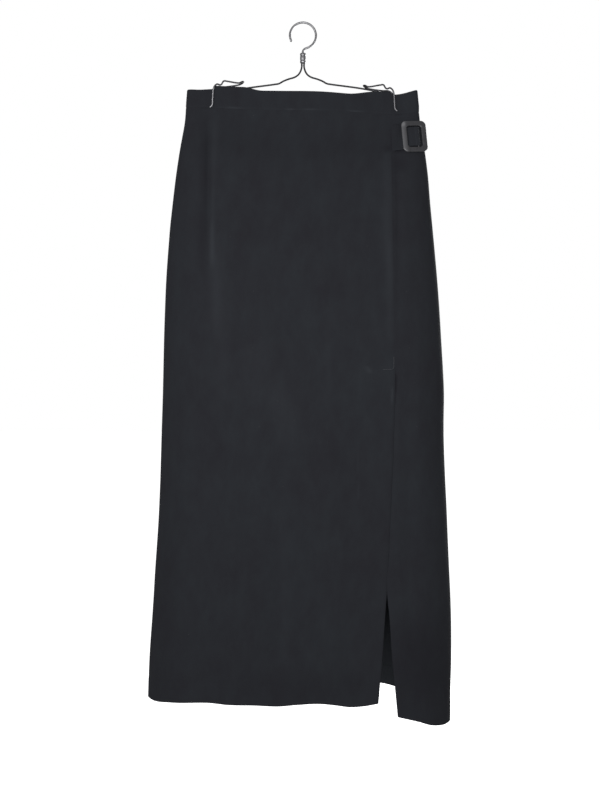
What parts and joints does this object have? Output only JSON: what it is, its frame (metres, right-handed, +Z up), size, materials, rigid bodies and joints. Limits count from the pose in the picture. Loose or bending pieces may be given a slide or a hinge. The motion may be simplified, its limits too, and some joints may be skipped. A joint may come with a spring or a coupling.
{
  "type": "maxi skirt on a wire clip hanger",
  "caption": "Long straight mock-wrap skirt of dark crepe with a slit at one side and a square hip buckle, hung by spring clips from a wire hanger.",
  "frame": {"origin": "the inner top of the hanger's hook, where a rod bears", "axes": "+Z up, -Y out of the front of the skirt, +X to the right of someone who looks at the front"},
  "size_m": [0.4816, 0.1214, 1.1103],
  "materials": {
    "cloth": "matte black crepe",
    "buckle_plastic": "satin",
    "steel_wire": "dull zinc plated",
    "dark_wire": "dark plated"
  },
  "bodies": {
    "root": {"waistband_front": "cloth", "waistband_back": "cloth", "front_panel": "cloth", "side_front_panel": "cloth", "back_panel": "cloth", "buckle_tab": "cloth", "buckle": "buckle_plastic", "buckle_bar": "steel_wire", "hanger_hook": "steel_wire", "hanger_neck": "steel_wire", "hanger_arm_left": "dark_wire", "hanger_arm_right": "dark_wire", "clip_left": "steel_wire", "clip_right": "steel_wire"}
  },
  "joints": []
}
